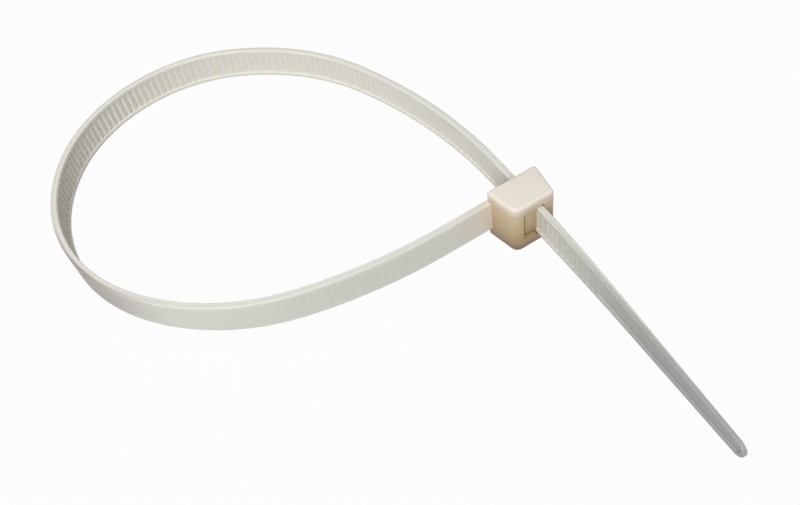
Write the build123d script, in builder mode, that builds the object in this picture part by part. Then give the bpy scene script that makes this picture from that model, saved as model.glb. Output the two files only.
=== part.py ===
from build123d import *
import math
import os

# A cable tie closed on itself: the strap leaves the head, turns round in a teardrop loop with its teeth
# inside, runs back through the head and ends in a straight tail. It lies on its edge, so the strap's width
# stands up along Z. The origin is the middle of the head's lower side, which the tie stands on.
# Lengths are in millimetres and angles in degrees.

# strap
strap_length = 196.0          # from the head to the tip, along the middle of the thickness
strap_width = 4.5
strap_thickness = 0.85
strap_edge_round = 0.15
rail_width = 0.55             # smooth border on each side of the toothed channel
channel_depth = 0.35
channel_start = 4.0           # from the head to the beginning of the channel

# teeth
tooth_pitch = 0.97
tooth_height = 0.22
tooth_rise = 0.06             # length of the steep flank, which faces the head's root
tooth_ramp = 0.64             # length of the gentle flank, which faces the tip
first_tooth = 7.0             # from the head
last_tooth = 173.5

# tail
taper_length = 31.5
tip_width = 2.3
tail_thinning = 0.3           # how much thinner the strap is at the tip, taken off its plain side

# loop, as arcs that follow each other: share of the loop radius, and turn
loop_radius = 24.0
loop_arcs = [(2.75, 15.4), (1.2, 42.0), (1.0, 73.0), (0.85, 81.0), (1.29, 37.5)]
closing_arc_share = 2.8       # the last arc turns by what is left
slot_lean = 2.5               # how far the strap leans from square as it goes through the head

# head
head_width = 7.4
head_depth = 4.7              # from the entry face to the exit face
entry_length = 7.15
exit_length = 5.5
root_corner_round = 0.9       # upright edge between the root's side and the exit face
corner_round = 0.4            # the other upright edges
side_round = 0.4              # edges of the upper and lower sides
root_overlap = 0.6            # how far the strap reaches into the head's wall

# slot
slot_place = 4.5              # from the root's side of the head to the middle of the strap
slot_clearance = 0.15
slot_overrun = 0.9            # how far the slot's cut runs past the head's faces
lead_in = 0.3                 # chamfer of the slot's mouth at the entry face

# pawl and its pocket
pocket_reach = 2.25           # from the middle of the strap to the pocket's far wall
pocket_width = 3.9
pocket_floor = 0.75           # wall left between the pocket and the entry face
pawl_width = 3.4
pawl_clearance = 0.06         # between the pawl's teeth and the strap's
pawl_teeth = 3
pawl_back = 1.8               # from the middle of the strap to the pawl's back
hinge_thickness = 0.45
pawl_end_gap = 0.35           # from the pawl's free end to the exit face

# worked out from the sizes above
strap_base = (head_width - strap_width) / 2
half_thickness = strap_thickness / 2
channel_level = half_thickness - channel_depth
crest_level = channel_level + tooth_height


def heading_vector(angle):
    """The level direction at an angle from +X."""
    return Vector(math.cos(math.radians(angle)), math.sin(math.radians(angle)))


def toothed_vector(heading):
    """The level direction from the strap's middle to its toothed side, for a strap that runs at a heading."""
    return heading_vector(heading - 90)


def arc_point(start, heading, radius, turn, shift=0):
    """A point after a clockwise turn on an arc, shifted towards the toothed side."""
    center = start + toothed_vector(heading) * radius
    return center - toothed_vector(heading - turn) * (radius - shift)


# The strap's middle line is a straight lead from the head, the arcs, and a straight run to the tip. The arcs'
# radii and turns fix their shape, and the two straight leads are as long as it takes to meet the slot.
root_point = Vector(-entry_length / 2, head_depth / 2 - half_thickness)
slot_point = Vector(-entry_length / 2 + slot_place, head_depth / 2)
slot_heading = -90 - slot_lean
closing_turn = 270 + slot_lean - sum(turn for share, turn in loop_arcs)
arcs = [(share * loop_radius, turn) for share, turn in loop_arcs]
arcs.append((closing_arc_share * loop_radius, closing_turn))

arcs_end = Vector(0, 0)
heading = 180
for radius, turn in arcs:
    arcs_end = arc_point(arcs_end, heading, radius, turn)
    heading = heading - turn
gap = slot_point - root_point - arcs_end
slot_lead = gap.Y / heading_vector(slot_heading).Y
root_lead = slot_lead * heading_vector(slot_heading).X - gap.X

# each run of the strap: length from the head to its start, start, heading, radius (0 if straight) and turn
runs = [(0, root_point, 180, 0, 0)]
place = root_lead
start = root_point + heading_vector(180) * root_lead
heading = 180
for radius, turn in arcs:
    runs.append((place, start, heading, radius, turn))
    place = place + radius * math.radians(turn)
    start = arc_point(start, heading, radius, turn)
    heading = heading - turn
runs.append((place, start, slot_heading, 0, 0))
straight_start = place
slot_entry = straight_start + slot_lead
slot_exit = slot_entry + head_depth / math.cos(math.radians(slot_lean))
tooth_count = int((last_tooth - first_tooth) / tooth_pitch) + 1


def strap_point(length, level=0):
    """A point in plan at a length along the strap, and a level from its middle towards the toothed side."""
    place, start, heading, radius, turn = [run for run in runs if run[0] <= length or run is runs[0]][-1]
    if radius == 0:
        return start + heading_vector(heading) * (length - place) + toothed_vector(heading) * level
    return arc_point(start, heading, radius, math.degrees((length - place) / radius), level)


def draw_side(level):
    """The strap's outline in plan at one level, from inside the head's wall to the straight run."""
    Line(strap_point(-root_overlap, level), strap_point(root_lead, level))
    for place, start, heading, radius, turn in runs[1:-1]:
        JernArc(strap_point(place, level), heading_vector(heading), radius - level, -turn)


def tooth_points(first, last):
    """The corners of the strap's teeth between two lengths, as (length, level)."""
    points = []
    for index in range(tooth_count):
        root = first_tooth + index * tooth_pitch
        if first <= root <= last:
            points.append((root, channel_level))
            points.append((root + tooth_rise, crest_level))
            points.append((root + tooth_rise + tooth_ramp, channel_level))
    return points


def pawl_face(first):
    """The pawl's teeth: the strap's teeth turned into hollows, one clearance away, as (length, level)."""
    points = []
    for index in range(pawl_teeth):
        root = first + index * tooth_pitch
        points.append((root - pawl_clearance, channel_level + pawl_clearance))
        points.append((root - pawl_clearance, crest_level + pawl_clearance))
        points.append((root + tooth_rise + pawl_clearance, crest_level + pawl_clearance))
        points.append((root + tooth_rise + tooth_ramp + pawl_clearance, channel_level + pawl_clearance))
    return points


def plan_points(pairs):
    """Points in plan from (length, level) pairs."""
    return [strap_point(length, level) for length, level in pairs]


# the strap, bent to its loop
with BuildPart() as strap:
    with BuildSketch(Plane.XY.offset(strap_base)):
        with BuildLine():
            draw_side(-half_thickness)
            draw_side(half_thickness)
            Line(strap_point(-root_overlap, -half_thickness), strap_point(-root_overlap, half_thickness))
            Line(strap_point(straight_start, -half_thickness), strap_point(straight_start, half_thickness))
        make_face()
    extrude(amount=strap_width)

    # the straight run, drawn from the side: full width as far as the taper, then down to a round tip
    straight_length = strap_length - straight_start
    taper_start = straight_length - taper_length
    tip_radius = tip_width / 2
    half_width = strap_width / 2
    side_plane = Plane(
        origin=strap_point(straight_start) + Vector(0, 0, head_width / 2),
        x_dir=heading_vector(slot_heading),
        z_dir=toothed_vector(slot_heading),
    )
    with BuildSketch(side_plane) as side_outline:
        with BuildLine():
            Polyline(
                (straight_length - tip_radius, tip_radius),
                (taper_start, half_width),
                (0, half_width),
                (0, -half_width),
                (taper_start, -half_width),
                (straight_length - tip_radius, -tip_radius),
            )
            ThreePointArc(
                (straight_length - tip_radius, -tip_radius),
                (straight_length, 0),
                (straight_length - tip_radius, tip_radius),
            )
        make_face()
    extrude(amount=half_thickness, both=True)
    long_edges = strap.edges().filter_by(Axis.Z, reverse=True)
    fillet(long_edges.filter_by(lambda edge: edge.length > 2 * strap_thickness), strap_edge_round)

    thin_places = [(strap_length - taper_length, -half_thickness), (strap_length, tail_thinning - half_thickness)]
    thin_places += [(strap_length, -strap_thickness), (strap_length - taper_length, -strap_thickness)]
    with BuildSketch():
        with BuildLine():
            Polyline(*plan_points(thin_places), close=True)
        make_face()
    extrude(amount=head_width, mode=Mode.SUBTRACT)

    # the channel along the toothed side, with the teeth standing in it
    channel_end = strap_length - rail_width
    channel_floor = [channel_start + step * tooth_pitch for step in range(int(channel_end / tooth_pitch))]
    before = [(place, channel_level) for place in channel_floor if place < first_tooth]
    above = [(place, strap_thickness) for place in channel_floor if place < channel_end]
    ridge = before + tooth_points(first_tooth, last_tooth) + [(channel_end, channel_level)]
    above.append((channel_end, strap_thickness))
    with BuildSketch(Plane.XY.offset(strap_base + rail_width)):
        with BuildLine():
            Polyline(*plan_points(ridge), *plan_points(above[::-1]), close=True)
        make_face()
    extrude(amount=strap_width - 2 * rail_width, mode=Mode.SUBTRACT)

    # the border that runs round the tapered tail
    with BuildSketch(side_plane):
        add(side_outline.sketch_local)
        offset(amount=-rail_width, mode=Mode.SUBTRACT)
    extrude(amount=half_thickness)

# the head: a block with tapered ends, a slot along the strap's line, and the pawl in its pocket
with BuildPart() as head:
    with BuildSketch():
        with BuildLine():
            Polyline(
                (-entry_length / 2, head_depth / 2),
                (-exit_length / 2, -head_depth / 2),
                (exit_length / 2, -head_depth / 2),
                (entry_length / 2, head_depth / 2),
                close=True,
            )
        make_face()
        exit_corner = vertices().group_by(Axis.Y)[0].sort_by(Axis.X)[0]
        fillet(exit_corner, root_corner_round)
        plain_corners = vertices().group_by(Axis.Y)[-1] + vertices().group_by(Axis.Y)[0].sort_by(Axis.X)[-1:]
        fillet(plain_corners, corner_round)
    extrude(amount=head_width)
    fillet(head.edges().group_by(Axis.Z)[0] + head.edges().group_by(Axis.Z)[-1], side_round)

    slot_half = half_thickness + slot_clearance
    slot_ends = (slot_entry - slot_overrun, slot_exit + slot_overrun)
    with BuildSketch(Plane.XY.offset(strap_base - slot_clearance)):
        with BuildLine():
            corners = [(slot_ends[0], -slot_half), (slot_ends[1], -slot_half)]
            corners += [(slot_ends[1], slot_half), (slot_ends[0], slot_half)]
            Polyline(*plan_points(corners), close=True)
        make_face()
    extrude(amount=strap_width + 2 * slot_clearance, mode=Mode.SUBTRACT)
    entry_face = head.faces().sort_by(Axis.Y)[-1]
    chamfer(entry_face.inner_wires()[0].edges(), lead_in)

    pocket_start = slot_entry + pocket_floor
    with BuildSketch(Plane.XY.offset((head_width - pocket_width) / 2)):
        with BuildLine():
            corners = [(pocket_start, 0), (slot_ends[1], 0)]
            corners += [(slot_ends[1], pocket_reach), (pocket_start, pocket_reach)]
            Polyline(*plan_points(corners), close=True)
        make_face()
    extrude(amount=pocket_width, mode=Mode.SUBTRACT)

    # the pawl hangs from the pocket's floor by a thin hinge, its teeth between those of the strap
    pawl_end = slot_exit - pawl_end_gap
    room = pawl_end - pawl_teeth * tooth_pitch
    first_index = int((room - first_tooth) / tooth_pitch)
    face = pawl_face(first_tooth + first_index * tooth_pitch)
    hinge_level = pawl_back - hinge_thickness
    pawl_outline = [(pocket_start - hinge_thickness / 2, hinge_level), (pocket_start + hinge_thickness, hinge_level)]
    pawl_outline += [(face[0][0] - tooth_ramp, crest_level + 2 * pawl_clearance)]
    pawl_outline += [(face[0][0] - tooth_pitch + tooth_rise + tooth_ramp, channel_level + pawl_clearance)]
    pawl_outline += face
    pawl_outline += [(pawl_end, face[-1][1] + pawl_clearance), (pawl_end, pawl_back - hinge_thickness / 2)]
    pawl_outline += [(pocket_start + 2 * hinge_thickness, pawl_back), (pocket_start - hinge_thickness / 2, pawl_back)]
    with BuildSketch(Plane.XY.offset((head_width - pawl_width) / 2)):
        with BuildLine():
            Polyline(*plan_points(pawl_outline), close=True)
        make_face()
    extrude(amount=pawl_width)

with BuildPart() as cable_tie:
    add(head.part)
    add(strap.part)

cable_tie.part.label = "cable_tie"
os.makedirs("parts", exist_ok=True)
export_step(cable_tie.part, "parts/cable_tie.step")
print("leads", round(root_lead, 2), round(slot_lead, 2), "straight", round(straight_length, 2))
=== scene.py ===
import math

import bpy
import numpy as np
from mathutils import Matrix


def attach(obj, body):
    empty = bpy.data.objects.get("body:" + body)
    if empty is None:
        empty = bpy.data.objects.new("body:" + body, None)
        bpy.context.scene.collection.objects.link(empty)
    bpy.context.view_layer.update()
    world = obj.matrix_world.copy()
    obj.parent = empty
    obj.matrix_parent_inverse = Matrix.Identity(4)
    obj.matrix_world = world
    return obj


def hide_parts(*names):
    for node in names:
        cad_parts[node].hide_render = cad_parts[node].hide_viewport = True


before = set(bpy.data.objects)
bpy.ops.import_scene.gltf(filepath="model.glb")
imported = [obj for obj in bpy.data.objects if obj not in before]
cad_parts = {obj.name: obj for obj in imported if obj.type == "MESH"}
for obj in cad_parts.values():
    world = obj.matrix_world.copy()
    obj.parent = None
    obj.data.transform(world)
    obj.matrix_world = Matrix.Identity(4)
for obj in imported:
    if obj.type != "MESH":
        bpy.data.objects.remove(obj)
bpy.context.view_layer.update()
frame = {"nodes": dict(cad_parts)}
mm = 0.001
print("frame loaded:", ", ".join(frame["nodes"]))

# sizes are in millimetres and degrees; the tie lies on its edge, so its width is upright
strap = {
    "length": 196.0, "width": 4.5, "thickness": 0.85, "edgeRound": 0.15,
    "rail": 0.55,                                   # smooth border on each side of the teeth
    "channelDepth": 0.35, "channelStart": 4.0, "channelRamp": 0.25, "wallSlope": 0.06, "lip": 0.03,
    "narrowestChannel": 0.12,                       # half width at which the channel has run out
    "pitch": 0.97, "toothHeight": 0.22, "firstTooth": 7.0, "lastTooth": 173.5,
    "toothShape": [(-0.05, 0.0), (0.0, 0.04), (0.03, 0.6), (0.07, 0.96),    # along, share of the height
                   (0.12, 0.97), (0.4, 0.5), (0.66, 0.07), (0.74, 0.0)],
    "taper": 31.5, "tipWidth": 2.3, "tailThinning": 0.38, "tailChannel": 0.2,
    "intoHead": 0.6, "lead": 6.47,                  # overlap with the head, straight stretch beside it
    "arcs": [(66.0, 15.4), (28.8, 42.0), (24.0, 73.0),                      # radius and turn of each
             (20.4, 81.0), (30.96, 37.5), (67.2, 23.6)],
    "bendSoftness": 6.0,                            # length over which one arc becomes the next
    "tailBend": (162.0, 178.0, 2.2),                # from, to, and the turn between them
    "rootRows": 10, "rampRows": (0.05, 0.1, 0.25, 0.3), "rowStep": 0.5,
    "tailRows": (174.6, 195.2), "tipRows": 14, "tipEnd": 0.006,
    "flatColumns": 7, "edgeTurns": (18.0, 45.0, 72.0),
}

head = {
    "width": 7.4, "depth": 4.7, "entryLength": 7.15, "exitLength": 5.5,
    "rootRound": 1.0, "cornerRound": 0.42, "sideRound": 0.42,
    "slotPlace": 4.5, "slotLean": 2.5, "slotLead": 4.396, "slotGap": 0.15, "leadIn": 0.3,
    "pocketReach": 2.25, "pocketWidth": 3.9, "pocketFloor": 0.75,
    "overrun": 0.9,                                 # how far the cutters reach past the faces
    "softEdge": 0.09, "softSteps": 3, "softAngle": 40.0,
}

pawl = {
    "width": 3.75, "gap": 0.06, "teeth": 3, "back": 2.1, "hinge": 0.45, "endGap": 0.35,
    "toothCrest": 0.06, "toothRun": 0.7, "leadRun": 0.27,
    "softEdge": 0.04, "softSteps": 2, "softAngle": 50.0,
}

smoothAngle = 32.0                                  # edges sharper than this stay sharp in the shading
halfThick = strap["thickness"] / 2
floorLevel = halfThick - strap["channelDepth"]
rootPlace = np.array([-head["entryLength"] / 2, head["depth"] / 2 - halfThick])
slotPlace = np.array([-head["entryLength"] / 2 + head["slotPlace"], head["depth"] / 2])
middle = head["width"] / 2


def makePath(step=0.05, before=3.0, after=1.0):
    # heading = half a turn less the running sum of curvature, point = running sum of the heading's direction;
    # the small miss at the slot is then spread over the loop
    along = np.arange(-before, strap["length"] + after, step)
    radii, turns = np.array(strap["arcs"]).T
    ends = strap["lead"] + np.concatenate([[0.0], np.cumsum(radii * np.radians(turns))])
    bend = np.concatenate([[0.0], 1 / radii, [0.0]])[np.searchsorted(ends, along)]
    start, stop, turn = strap["tailBend"]
    bend += ((along > start) & (along < stop)) * math.radians(turn) / (stop - start)
    window = np.hanning(int(strap["bendSoftness"] / step))
    bend = np.convolve(bend, window / window.sum(), "same")
    heading = math.pi - np.cumsum(bend) * step
    plan = np.cumsum(np.stack([np.cos(heading), np.sin(heading)], 1) * step, axis=0)
    plan += rootPlace - plan[np.argmin(abs(along))]
    slotAlong = ends[-1] + head["slotLead"]
    missed = slotPlace - plan[np.argmin(abs(along - slotAlong))]
    share = np.clip(along / slotAlong, 0, 1)
    plan += missed * (share * share * (3 - 2 * share))[:, None]
    return along, plan, heading, slotAlong


pathAlong, pathPlan, pathHeading, slotEntry = makePath()
slotExit = slotEntry + head["depth"] / math.cos(math.radians(head["slotLean"]))


def onStrap(along, level, height):
    # point on the middle line at a length, moved sideways by the level and set at a height
    along, level, height = np.broadcast_arrays(along, level, height)
    x, y, heading = (np.interp(along, pathAlong, v) for v in (pathPlan[:, 0], pathPlan[:, 1], pathHeading))
    return np.stack([x + level * np.sin(heading), y - level * np.cos(heading), height], -1)


def makeObject(name, points, faces):
    # points straight into a mesh, its object left at the origin
    mesh = bpy.data.meshes.new(name)
    mesh.from_pydata(points.tolist(), [], faces)
    mesh.validate()
    made = bpy.data.objects.new(name, mesh)
    bpy.context.scene.collection.objects.link(made)
    return made


def tube(name, rings):
    # a profile carried along a path: quads between neighbouring rings, one face over each end, all facing out
    count, size = rings.shape[:2]
    row = np.arange(count - 1)[:, None] * size
    near = np.arange(size)
    far = (near + 1) % size
    quads = np.stack([row + near, row + far, row + size + far, row + size + near], -1).reshape(-1, 4)
    faces = quads.tolist() + [near[::-1].tolist(), (near + (count - 1) * size).tolist()]
    corner = rings - rings.mean((0, 1))
    normal = np.cross(corner[:-1, far] - corner[:-1, near], corner[1:, near] - corner[:-1, near])
    if (normal * corner[:-1, near]).sum() < 0:
        faces = [face[::-1] for face in faces]
    return makeObject(name, rings.reshape(-1, 3), faces)


def toothRows():
    # one tooth shape repeated every pitch: a steep rise on the head side, then a slope down towards the tip
    place, rise = np.array(strap["toothShape"]).T
    starts = np.arange(strap["firstTooth"], strap["lastTooth"], strap["pitch"])
    return (starts[:, None] + place).ravel(), np.tile(rise * strap["toothHeight"], len(starts))


def halfWidth(along, inset=0.0):
    # straight as far as the taper, then a straight slope onto a round tip; inset moves the outline inwards
    tip = strap["tipWidth"] / 2
    fromTip = strap["length"] - tip - along
    slope = (strap["width"] / 2 - tip) / (strap["taper"] - tip)
    taper = np.clip(tip + slope * fromTip, 0, strap["width"] / 2) - inset
    cap = np.sqrt(np.maximum((tip - inset) ** 2 - np.minimum(fromTip, 0) ** 2, 0))
    return np.where(fromTip > 0, taper, np.where(-fromTip < tip - inset, cap, 0))


def strapRows(where):
    # lengths of the rows: every corner of every tooth, and even steps where the strap is plain
    length, channel, step = strap["length"], strap["channelStart"], strap["rowStep"]
    tip = strap["tipWidth"] / 2
    tipRound = length - tip * (1 - np.sin(np.linspace(0, 1, strap["tipRows"]) * math.pi / 2))
    rows = np.concatenate([
        where, np.linspace(-strap["intoHead"], channel, strap["rootRows"]),
        channel + np.array(strap["rampRows"]), np.arange(channel + 1, strap["firstTooth"], step),
        np.arange(*strap["tailRows"], step), tipRound[:-1], [length - strap["tipEnd"]],
    ])
    return np.unique(np.round(rows, 4))[:, None]


def makeStrap():
    # at each row a closed section: plain side, rounded edge, border, channel wall, toothed floor, and back;
    # the section narrows with halfWidth and thins evenly along the taper
    where, rise = toothRows()
    along = strapRows(where)
    tooth = np.interp(along, where, rise)
    half = halfWidth(along)
    edge = np.minimum(strap["edgeRound"], half * 0.8)
    flat = half - edge
    inner = halfWidth(along, strap["rail"])
    opened = np.clip((along - strap["channelStart"]) / strap["channelRamp"], 0, 1)
    opened = opened * np.clip(inner / strap["narrowestChannel"], 0, 1)
    inner = np.maximum(inner, flat * 0.4)           # these shares keep the columns apart at the tip
    wall = inner + np.minimum(strap["wallSlope"], flat * 0.2)
    lip = np.minimum(strap["lip"], flat * 0.2)
    pastTaper = np.clip((along - strap["length"] + strap["taper"]) / strap["taper"], 0, 1)
    channel = halfThick + (floorLevel + tooth - halfThick + strap["tailChannel"] * pastTaper) * opened
    outer = strap["tailThinning"] * pastTaper - halfThick

    turn = np.radians(strap["edgeTurns"])
    sweep = np.linspace(-1, 1, strap["flatColumns"])
    plainRound = flat + edge * np.sin(turn), outer + edge - edge * np.cos(turn)
    toothRound = flat + edge * np.cos(turn), halfThick - edge + edge * np.sin(turn)
    side = np.hstack([half, half]), np.hstack([outer + edge, halfThick - edge + 0 * half])
    border = np.hstack([flat, wall + lip]), halfThick + 0 * np.hstack([half, half])
    wallTop = wall, halfThick - lip * opened
    upper = [plainRound, side, toothRound, border, wallTop]
    lower = [(-across[:, ::-1], level[:, ::-1]) for across, level in upper[::-1]]
    plainSide = flat * sweep, outer + 0 * sweep
    toothedFloor = -inner * sweep, channel + 0 * sweep
    sections = [plainSide] + upper + [toothedFloor] + lower
    across, level = (np.hstack(parts) for parts in zip(*sections))
    made = tube("strap", onStrap(along, level, middle + across))
    for label, values in (("along", along + across * 0), ("across", across), ("level", level)):
        layer = made.data.attributes.new(label, "FLOAT", "POINT")
        layer.data.foreach_set("value", np.ascontiguousarray(values, np.float32).ravel())
    return made


def outline(corners, rounds, inset, steps=9):
    # a polygon with an arc at each corner; each arc's centre stays put as the inset shrinks its radius
    corners = np.array(corners, float)
    rounds = np.array(rounds, float)[:, None]
    after = np.roll(corners, -1, 0) - corners
    after /= np.linalg.norm(after, axis=1)[:, None]
    before = np.roll(after, 1, 0)
    cosine = (before * after).sum(1)[:, None]
    bisector = after - before
    bisector /= np.linalg.norm(bisector, axis=1)[:, None]
    centres = corners + bisector * rounds / np.sqrt((1 + cosine) / 2)
    startAngle = np.arctan2(-before[:, 0], before[:, 1])[:, None]
    sweep = np.arctan2(before[:, 0] * after[:, 1] - before[:, 1] * after[:, 0], cosine[:, 0])[:, None]
    angle = startAngle + sweep * np.linspace(0, 1, steps)
    offset = np.stack([np.cos(angle), np.sin(angle)], -1) * (rounds[:, None] - inset)
    return (centres[:, None] + offset).reshape(-1, 2)


def makeHeadBlock(steps=7):
    # the plan outline carried up, drawn in at the lower and upper edges along a quarter circle
    entry, leave, depth = head["entryLength"] / 2, head["exitLength"] / 2, head["depth"] / 2
    corners = [(-leave, -depth), (leave, -depth), (entry, depth), (-entry, depth)]
    rounds = [head["rootRound"], head["cornerRound"], head["cornerRound"], head["cornerRound"]]
    turn = np.linspace(0, math.pi / 2, steps)
    inset = head["sideRound"] * (1 - np.sin(turn))
    lift = head["sideRound"] * (1 - np.cos(turn))
    insets = np.concatenate([inset, inset[::-1]])
    heights = np.concatenate([lift, head["width"] - lift[::-1]])
    plans = (outline(corners, rounds, each) for each in insets)
    return tube("head", np.array([np.c_[plan, np.full(len(plan), z)] for plan, z in zip(plans, heights)]))


def carried(name, sections):
    # a rectangle carried along the strap's line; each section is (along, level from, level to, half height)
    along, low, high, half = np.array(sections).T[:, :, None]
    level = np.hstack([low, high, high, low])
    height = middle + half * np.array([-1, -1, 1, 1])
    return tube(name, onStrap(along, level, height))


def makePawl():
    # the pawl's side view, (along, level), carried across its width; its teeth fill the gaps of the strap's
    end = slotExit - pawl["endGap"]
    start = slotEntry + head["pocketFloor"]
    pitch, gap, hinge, back = strap["pitch"], pawl["gap"], pawl["hinge"], pawl["back"]
    crest = floorLevel + strap["toothHeight"]
    first = strap["firstTooth"] + pitch * int((end - pawl["teeth"] * pitch - strap["firstTooth"]) / pitch)
    side = [(start - hinge / 2, back - hinge), (start + hinge, back - hinge)]
    side += [(first - pawl["toothRun"], crest + 2 * gap), (first - pawl["leadRun"], floorLevel + gap)]
    for index in range(pawl["teeth"]):
        root = first + index * pitch
        side += [(root - gap, floorLevel + gap), (root - gap, crest + gap)]
        side += [(root + pawl["toothCrest"] + gap, crest + gap)]
        side += [(root + pawl["toothRun"] + gap, floorLevel + gap)]
    side += [(end, floorLevel + 2 * gap), (end, back - hinge / 2)]
    side += [(start + 2 * hinge, back), (start - hinge / 2, back)]
    along, level = np.array(side).T
    half = pawl["width"] / 2
    return tube("pawl", np.array([onStrap(along, level, middle + z) for z in (-half, half)]))


def softened(made, sizes):
    # every edge sharper than the angle rounded, then all modifiers applied
    bevel = made.modifiers.new("soften", "BEVEL")
    bevel.width, bevel.segments = sizes["softEdge"], sizes["softSteps"]
    bevel.angle_limit = math.radians(sizes["softAngle"])
    bpy.context.view_layer.update()
    result = bpy.data.meshes.new_from_object(made.evaluated_get(bpy.context.evaluated_depsgraph_get()))
    made.modifiers.clear()
    made.data = result
    return made


def makeHead():
    # the block less the slot, with its sloping mouth, and less the pocket behind the pawl
    block = makeHeadBlock()
    lead, run = head["leadIn"], head["overrun"]
    half, wide = halfThick + head["slotGap"], strap["width"] / 2 + head["slotGap"]
    mouth = lead + run
    slot = carried("slotCut", [
        (slotEntry - run, -half - mouth, half + mouth, wide + mouth),
        (slotEntry + lead, -half, half, wide),
        (slotExit + run, -half, half, wide),
    ])
    pocket = carried("pocketCut", [
        (along, 0, head["pocketReach"], head["pocketWidth"] / 2)
        for along in (slotEntry + head["pocketFloor"], slotExit + run)
    ])
    for cutter in (slot, pocket):
        cut = block.modifiers.new(cutter.name, "BOOLEAN")
        cut.operation, cut.solver, cut.object = "DIFFERENCE", "EXACT", cutter
    softened(block, head)
    for cutter in (slot, pocket):
        bpy.data.objects.remove(cutter)
    return block


def toMetres(made):
    # the mesh scaled down in place, shaded smooth except at its sharp edges
    places = np.empty(len(made.data.vertices) * 3)
    made.data.vertices.foreach_get("co", places)
    made.data.vertices.foreach_set("co", places * mm)
    made.data.shade_smooth()
    made.data.set_sharp_from_angle(angle=math.radians(smoothAngle))
    made.data.update()
    return made


strapPiece = toMetres(makeStrap())
headPiece = toMetres(makeHead())
pawlPiece = toMetres(softened(makePawl(), pawl))
pieces = [strapPiece, headPiece, pawlPiece]
print("faces:", ", ".join(f"{piece.name} {len(piece.data.polygons)}" for piece in pieces))


class Value:
    # a socket that takes part in arithmetic, each operator adding a Math node
    def __init__(self, finish, socket):
        self.finish, self.socket = finish, socket

    def maths(self, operation, *others):
        return self.finish.add("ShaderNodeMath", {"operation": operation}, dict(enumerate((self,) + others)))

    def __add__(self, other):
        return self.maths("ADD", other)

    def __sub__(self, other):
        return self.maths("SUBTRACT", other)

    def __rsub__(self, other):
        return self.finish.add("ShaderNodeMath", {"operation": "SUBTRACT"}, {0: other, 1: self})

    def __mul__(self, other):
        return self.maths("MULTIPLY", other)

    def __truediv__(self, other):
        return self.maths("DIVIDE", other)

    __radd__, __rmul__ = __add__, __mul__


class Finish:
    def __init__(self, owner, outputKind="ShaderNodeOutputMaterial"):
        owner.use_nodes = True
        self.owner, self.tree = owner, owner.node_tree
        self.tree.nodes.clear()
        self.output = self.tree.nodes.new(outputKind)

    def add(self, kind, settings=None, inputs=None, output=0):
        # a node of any kind: its settings first, then values or links on its sockets
        node = self.tree.nodes.new(kind)
        for key, value in (settings or {}).items():
            if key == "stops":
                self.setStops(node.color_ramp, value)
            else:
                setattr(node, key, value)
        for key, value in (inputs or {}).items():
            if isinstance(value, Value):
                self.tree.links.new(value.socket, node.inputs[key])
            else:
                node.inputs[key].default_value = value
        return Value(self, node.outputs[output])

    def setStops(self, ramp, stops):
        for place, colour in stops[2:]:
            ramp.elements.new(place)
        for element, (place, colour) in zip(ramp.elements, sorted(stops)):
            element.position, element.color = place, colour

    def surface(self, shader):
        self.tree.links.new(shader.socket, self.output.inputs["Surface"])
        return self.owner

    def attribute(self, label):
        return self.add("ShaderNodeAttribute", {"attribute_name": label}, output="Fac")

    def objectPlace(self):
        return self.add("ShaderNodeTexCoord", output="Object")

    def smooth(self, value, low, high):
        # 0 below low, 1 above high, an even curve between them
        return self.add("ShaderNodeMapRange", {"interpolation_type": "SMOOTHSTEP"},
                        {"Value": value, "From Min": low, "From Max": high})

    def between(self, value, low, lowEnd, high, highEnd):
        # rises from low to lowEnd and falls from high to highEnd
        return self.smooth(value, low, lowEnd) * (1 - self.smooth(value, high, highEnd))

    def noise(self, scale, detail):
        return self.add("ShaderNodeTexNoise", {},
                        {"Vector": self.objectPlace(), "Scale": scale, "Detail": detail})

    def mixed(self, factor, first, second):
        return self.add("ShaderNodeMix", {"data_type": "RGBA"}, {0: factor, 6: first, 7: second}, output=2)

    def grain(self, fine, coarse, strength):
        # fine noise over coarser noise, as a bump
        height = self.noise(fine, 3) * 0.6 + self.noise(coarse, 2) * 0.4
        return self.add("ShaderNodeBump", {}, {"Height": height, "Strength": strength, "Distance": 0.1 * mm})


def rgb(*levels):
    # screen values from 0 to 255, brought to the linear values that nodes take
    shares = [level / 255 for level in levels]
    return (*(v / 12.92 if v <= 0.04045 else ((v + 0.055) / 1.055) ** 2.4 for v in shares), 1.0)


nylon = {"roughness": 0.42, "patchy": 0.12, "refraction": 1.53, "depth": 0.8 * mm, "spread": (1.0, 0.85, 0.6)}


def nylonShader(finish, colour, cloud, bump, smoother, softness):
    # roughness varies with the cloud; light goes a little way into the plastic, red furthest
    return finish.surface(finish.add("ShaderNodeBsdfPrincipled", {"subsurface_method": "BURLEY"}, {
        "Base Color": colour, "Roughness": cloud * nylon["patchy"] + (nylon["roughness"] - smoother),
        "Normal": bump, "IOR": nylon["refraction"], "Subsurface Weight": softness,
        "Subsurface Scale": nylon["depth"], "Subsurface Radius": nylon["spread"],
    }))


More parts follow.
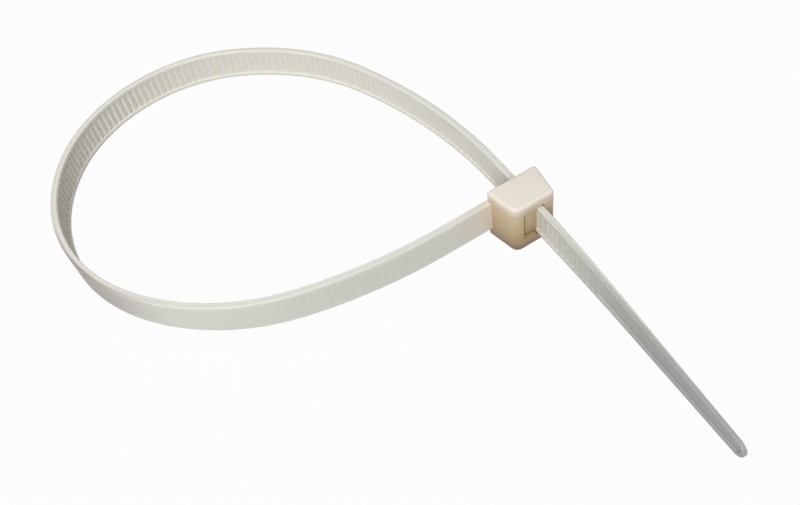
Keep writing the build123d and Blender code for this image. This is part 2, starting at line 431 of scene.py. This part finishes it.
# lengths are along the strap from the head, levels are from its plain side (negative) to its toothed side
# the bands, bend and tail colours are painted shade; the toothed and rail colours are painted light
strapColours = {
    "plain": rgb(226, 225, 214), "bandShade": rgb(205, 205, 192), "rail": rgb(240, 239, 230),
    "toothSideLight": rgb(241, 238, 228), "bendShade": rgb(147, 137, 133), "lowEdge": rgb(236, 220, 190),
    "tailShade": rgb(168, 168, 166), "root": rgb(230, 222, 206),
    "bandInPitch": (0.1, 0.75, 0.8, 1.0), "bandLengths": (6, 12, 168, 174), "bandsFade": (45, 70),
    "bandStrength": 0.3, "railFrom": (1.55, 1.85), "rimHighlightStrength": 0.25,
    "plainSide": (-0.3, 0.0), "toothSide": (0.0, 0.2), "toothSideLightStrength": 0.85,
    "toothSideLightFade": (120, 150), "toothSideLightFadeBy": 0.6,
    "lowEdgeFrom": (-2.27, -2.1), "lowEdgeStrength": 0.6, "rootLengths": (0, 5),
    "bendShadeLengths": (38, 54, 52, 68), "bendShadeStrength": 0.9,
    "tailShadeLengths": (154, 186), "tailShadeLevels": (-0.1, 0.1), "softness": 0.06,
}


def strapNylon():
    # painted shade: faint bands where teeth show through the thin web, a dark patch on the sharp bend's outer
    # face, a greyer tail; painted light: lighter toothed side and rims; the root warmer
    sizes = strapColours
    finish = Finish(bpy.data.materials.new("strapNylon"))
    along, across, level = (finish.attribute(label) for label in ("along", "across", "level"))
    cloud = finish.noise(90, 3)
    inside = 1 - finish.smooth(across.maths("ABSOLUTE"), *sizes["railFrom"])
    plainSide = 1 - finish.smooth(level, *sizes["plainSide"])
    phase = ((along - strap["firstTooth"]) / strap["pitch"]).maths("FRACT")
    bands = finish.between(phase, *sizes["bandInPitch"]) * finish.between(along, *sizes["bandLengths"])
    bands = bands * inside * plainSide * (1 - finish.smooth(along, *sizes["bandsFade"]))
    bands = bands * (cloud * 0.8 + 0.25)            # uneven, as light through the web is
    # painted light: the toothed side made lighter, less so towards the tail
    toothSideLight = sizes["toothSideLightStrength"] - finish.smooth(along, *sizes["toothSideLightFade"]) * sizes["toothSideLightFadeBy"]
    lowEdge = 1 - finish.smooth(across, *sizes["lowEdgeFrom"])
    # painted shade: a dark patch on the plain outer face of the sharp bend
    bendShade = finish.between(along, *sizes["bendShadeLengths"]) * plainSide
    layers = [
        # painted shade: the teeth seen through the thin web as darker bands
        (bands * sizes["bandStrength"], "bandShade"),
        (finish.smooth(level, *sizes["toothSide"]) * toothSideLight, "toothSideLight"),
        # painted highlight: a lighter rim along both edges
        ((1 - inside) * sizes["rimHighlightStrength"], "rail"),
        (lowEdge * sizes["lowEdgeStrength"], "lowEdge"),
        (1 - finish.smooth(along, *sizes["rootLengths"]), "root"),
        (bendShade * sizes["bendShadeStrength"], "bendShade"),
        # painted shade: the toothed side of the tail greyer
        (finish.smooth(along, *sizes["tailShadeLengths"]) * finish.smooth(level, *sizes["tailShadeLevels"]), "tailShade"),
    ]
    colour = sizes["plain"]
    for factor, label in layers:
        colour = finish.mixed(factor, colour, sizes[label])
    return nylonShader(finish, colour, cloud, finish.grain(2600, 420, 0.12), 0.06, sizes["softness"])


# a ramp by height: painted shade darkest at the bottom, painted highlight lightest at the top
headColoursAndShade = {
    "stops": [(0.0, rgb(100, 82, 56)), (0.17, rgb(165, 142, 103)), (0.34, rgb(188, 163, 121)),
              (0.54, rgb(203, 181, 143)), (0.82, rgb(219, 198, 164)), (0.99, rgb(243, 235, 223))],
    "uneven": 0.16, "softness": 0.2,
}


def headNylon():
    # the thick block is warmer than the strap; painted shade darkens it towards the side it lies on, and its
    # top is painted lighter
    finish = Finish(bpy.data.materials.new("headNylon"))
    height = finish.add("ShaderNodeSeparateXYZ", {}, {"Vector": finish.objectPlace()}, output="Z")
    cloud = finish.noise(260, 3)
    # the height up the block picks the painted shade from the ramp
    lift = height / (head["width"] * mm) + (cloud - 0.5) * headColoursAndShade["uneven"]
    colour = finish.add("ShaderNodeValToRGB", {"stops": headColoursAndShade["stops"]}, {"Fac": lift})
    return nylonShader(finish, colour, cloud, finish.grain(2400, 500, 0.15), 0.04, headColoursAndShade["softness"])


strapMaterial, headMaterial = strapNylon(), headNylon()
for piece, material in zip(pieces, (strapMaterial, headMaterial, headMaterial)):
    piece.data.materials.clear()
    piece.data.materials.append(material)
    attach(piece, "root")
    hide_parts("cable_tie")
print("nylon finishes set")

# lengths from here on are in metres
stage = {"floorSize": 3.0, "floorColour": 0.5, "ownLight": 0.96, "worldLevel": 0.3}
white = (1.0, 1.0, 1.0, 1.0)
floorCorners = np.array([(-1, -1, 0), (1, -1, 0), (1, 1, 0), (-1, 1, 0)]) * stage["floorSize"] / 2
floor = makeObject("floor", floorCorners, [[0, 1, 2, 3]])


def seenStraight(finish):
    # 1 for what the camera sees, directly, by reflection or through something clear
    kinds = ("Is Camera Ray", "Is Glossy Ray", "Is Transmission Ray")
    camera, glossy, through = (finish.add("ShaderNodeLightPath", output=kind) for kind in kinds)
    return (camera + glossy + through).maths("MINIMUM", 1.0)


def floorFinish():
    # white where the camera sees it, with a share of the real shading left in, so that shadows show
    finish = Finish(bpy.data.materials.new("floorWhite"))
    plain = finish.add("ShaderNodeBsdfDiffuse", {}, {"Color": (stage["floorColour"],) * 3 + (1.0,)})
    glow = finish.add("ShaderNodeEmission", {}, {"Color": white, "Strength": 1.0})
    share = seenStraight(finish) * stage["ownLight"]
    return finish.surface(finish.add("ShaderNodeMixShader", {}, {0: share, 1: plain, 2: glow}))


def makeWorld():
    # white where the camera sees it, and a low even light on everything else
    world = bpy.data.worlds.new("studio")
    sky = Finish(world, "ShaderNodeOutputWorld")
    level = seenStraight(sky) * (1 - stage["worldLevel"]) + stage["worldLevel"]
    return sky.surface(sky.add("ShaderNodeBackground", {}, {"Color": white, "Strength": level}))


floor.data.materials.append(floorFinish())
bpy.context.scene.world = makeWorld()

lamps = [
    {"name": "overhead", "place": (-0.05, 0.1, 0.55), "aim": (-0.015, 0.02, 0), "size": 0.45, "power": 0.75},
    {"name": "front", "place": (-0.27, -0.28, 0.32), "aim": (-0.015, 0.02, 0), "size": 0.3, "power": 1.5},
]


def addLamp(settings):
    # a square lamp turned from straight down to face its aim
    data = bpy.data.lights.new(settings["name"], "AREA")
    data.size, data.energy = settings["size"], settings["power"]
    lamp = bpy.data.objects.new(settings["name"], data)
    lamp.location = settings["place"]
    x, y, z = np.subtract(settings["aim"], settings["place"])
    lamp.rotation_euler = (math.atan2(math.hypot(x, y), -z), 0, math.atan2(y, x) - math.pi / 2)
    bpy.context.scene.collection.objects.link(lamp)


for settings in lamps:
    addLamp(settings)

view = {
    "place": (-0.038175, -0.053224, 0.079703), "turned": (38.2977, 7.6077, -31.7171),
    "lens": 37.82, "sensor": 36.0,
}
cameraData = bpy.data.cameras.new("camera")
cameraData.lens, cameraData.sensor_width, cameraData.clip_start = view["lens"], view["sensor"], mm
camera = bpy.data.objects.new("camera", cameraData)
camera.location = view["place"]
camera.rotation_euler = [math.radians(angle) for angle in view["turned"]]
bpy.context.scene.collection.objects.link(camera)
bpy.context.scene.camera = camera
bpy.context.scene.view_settings.view_transform = "Standard"
print("stage set")
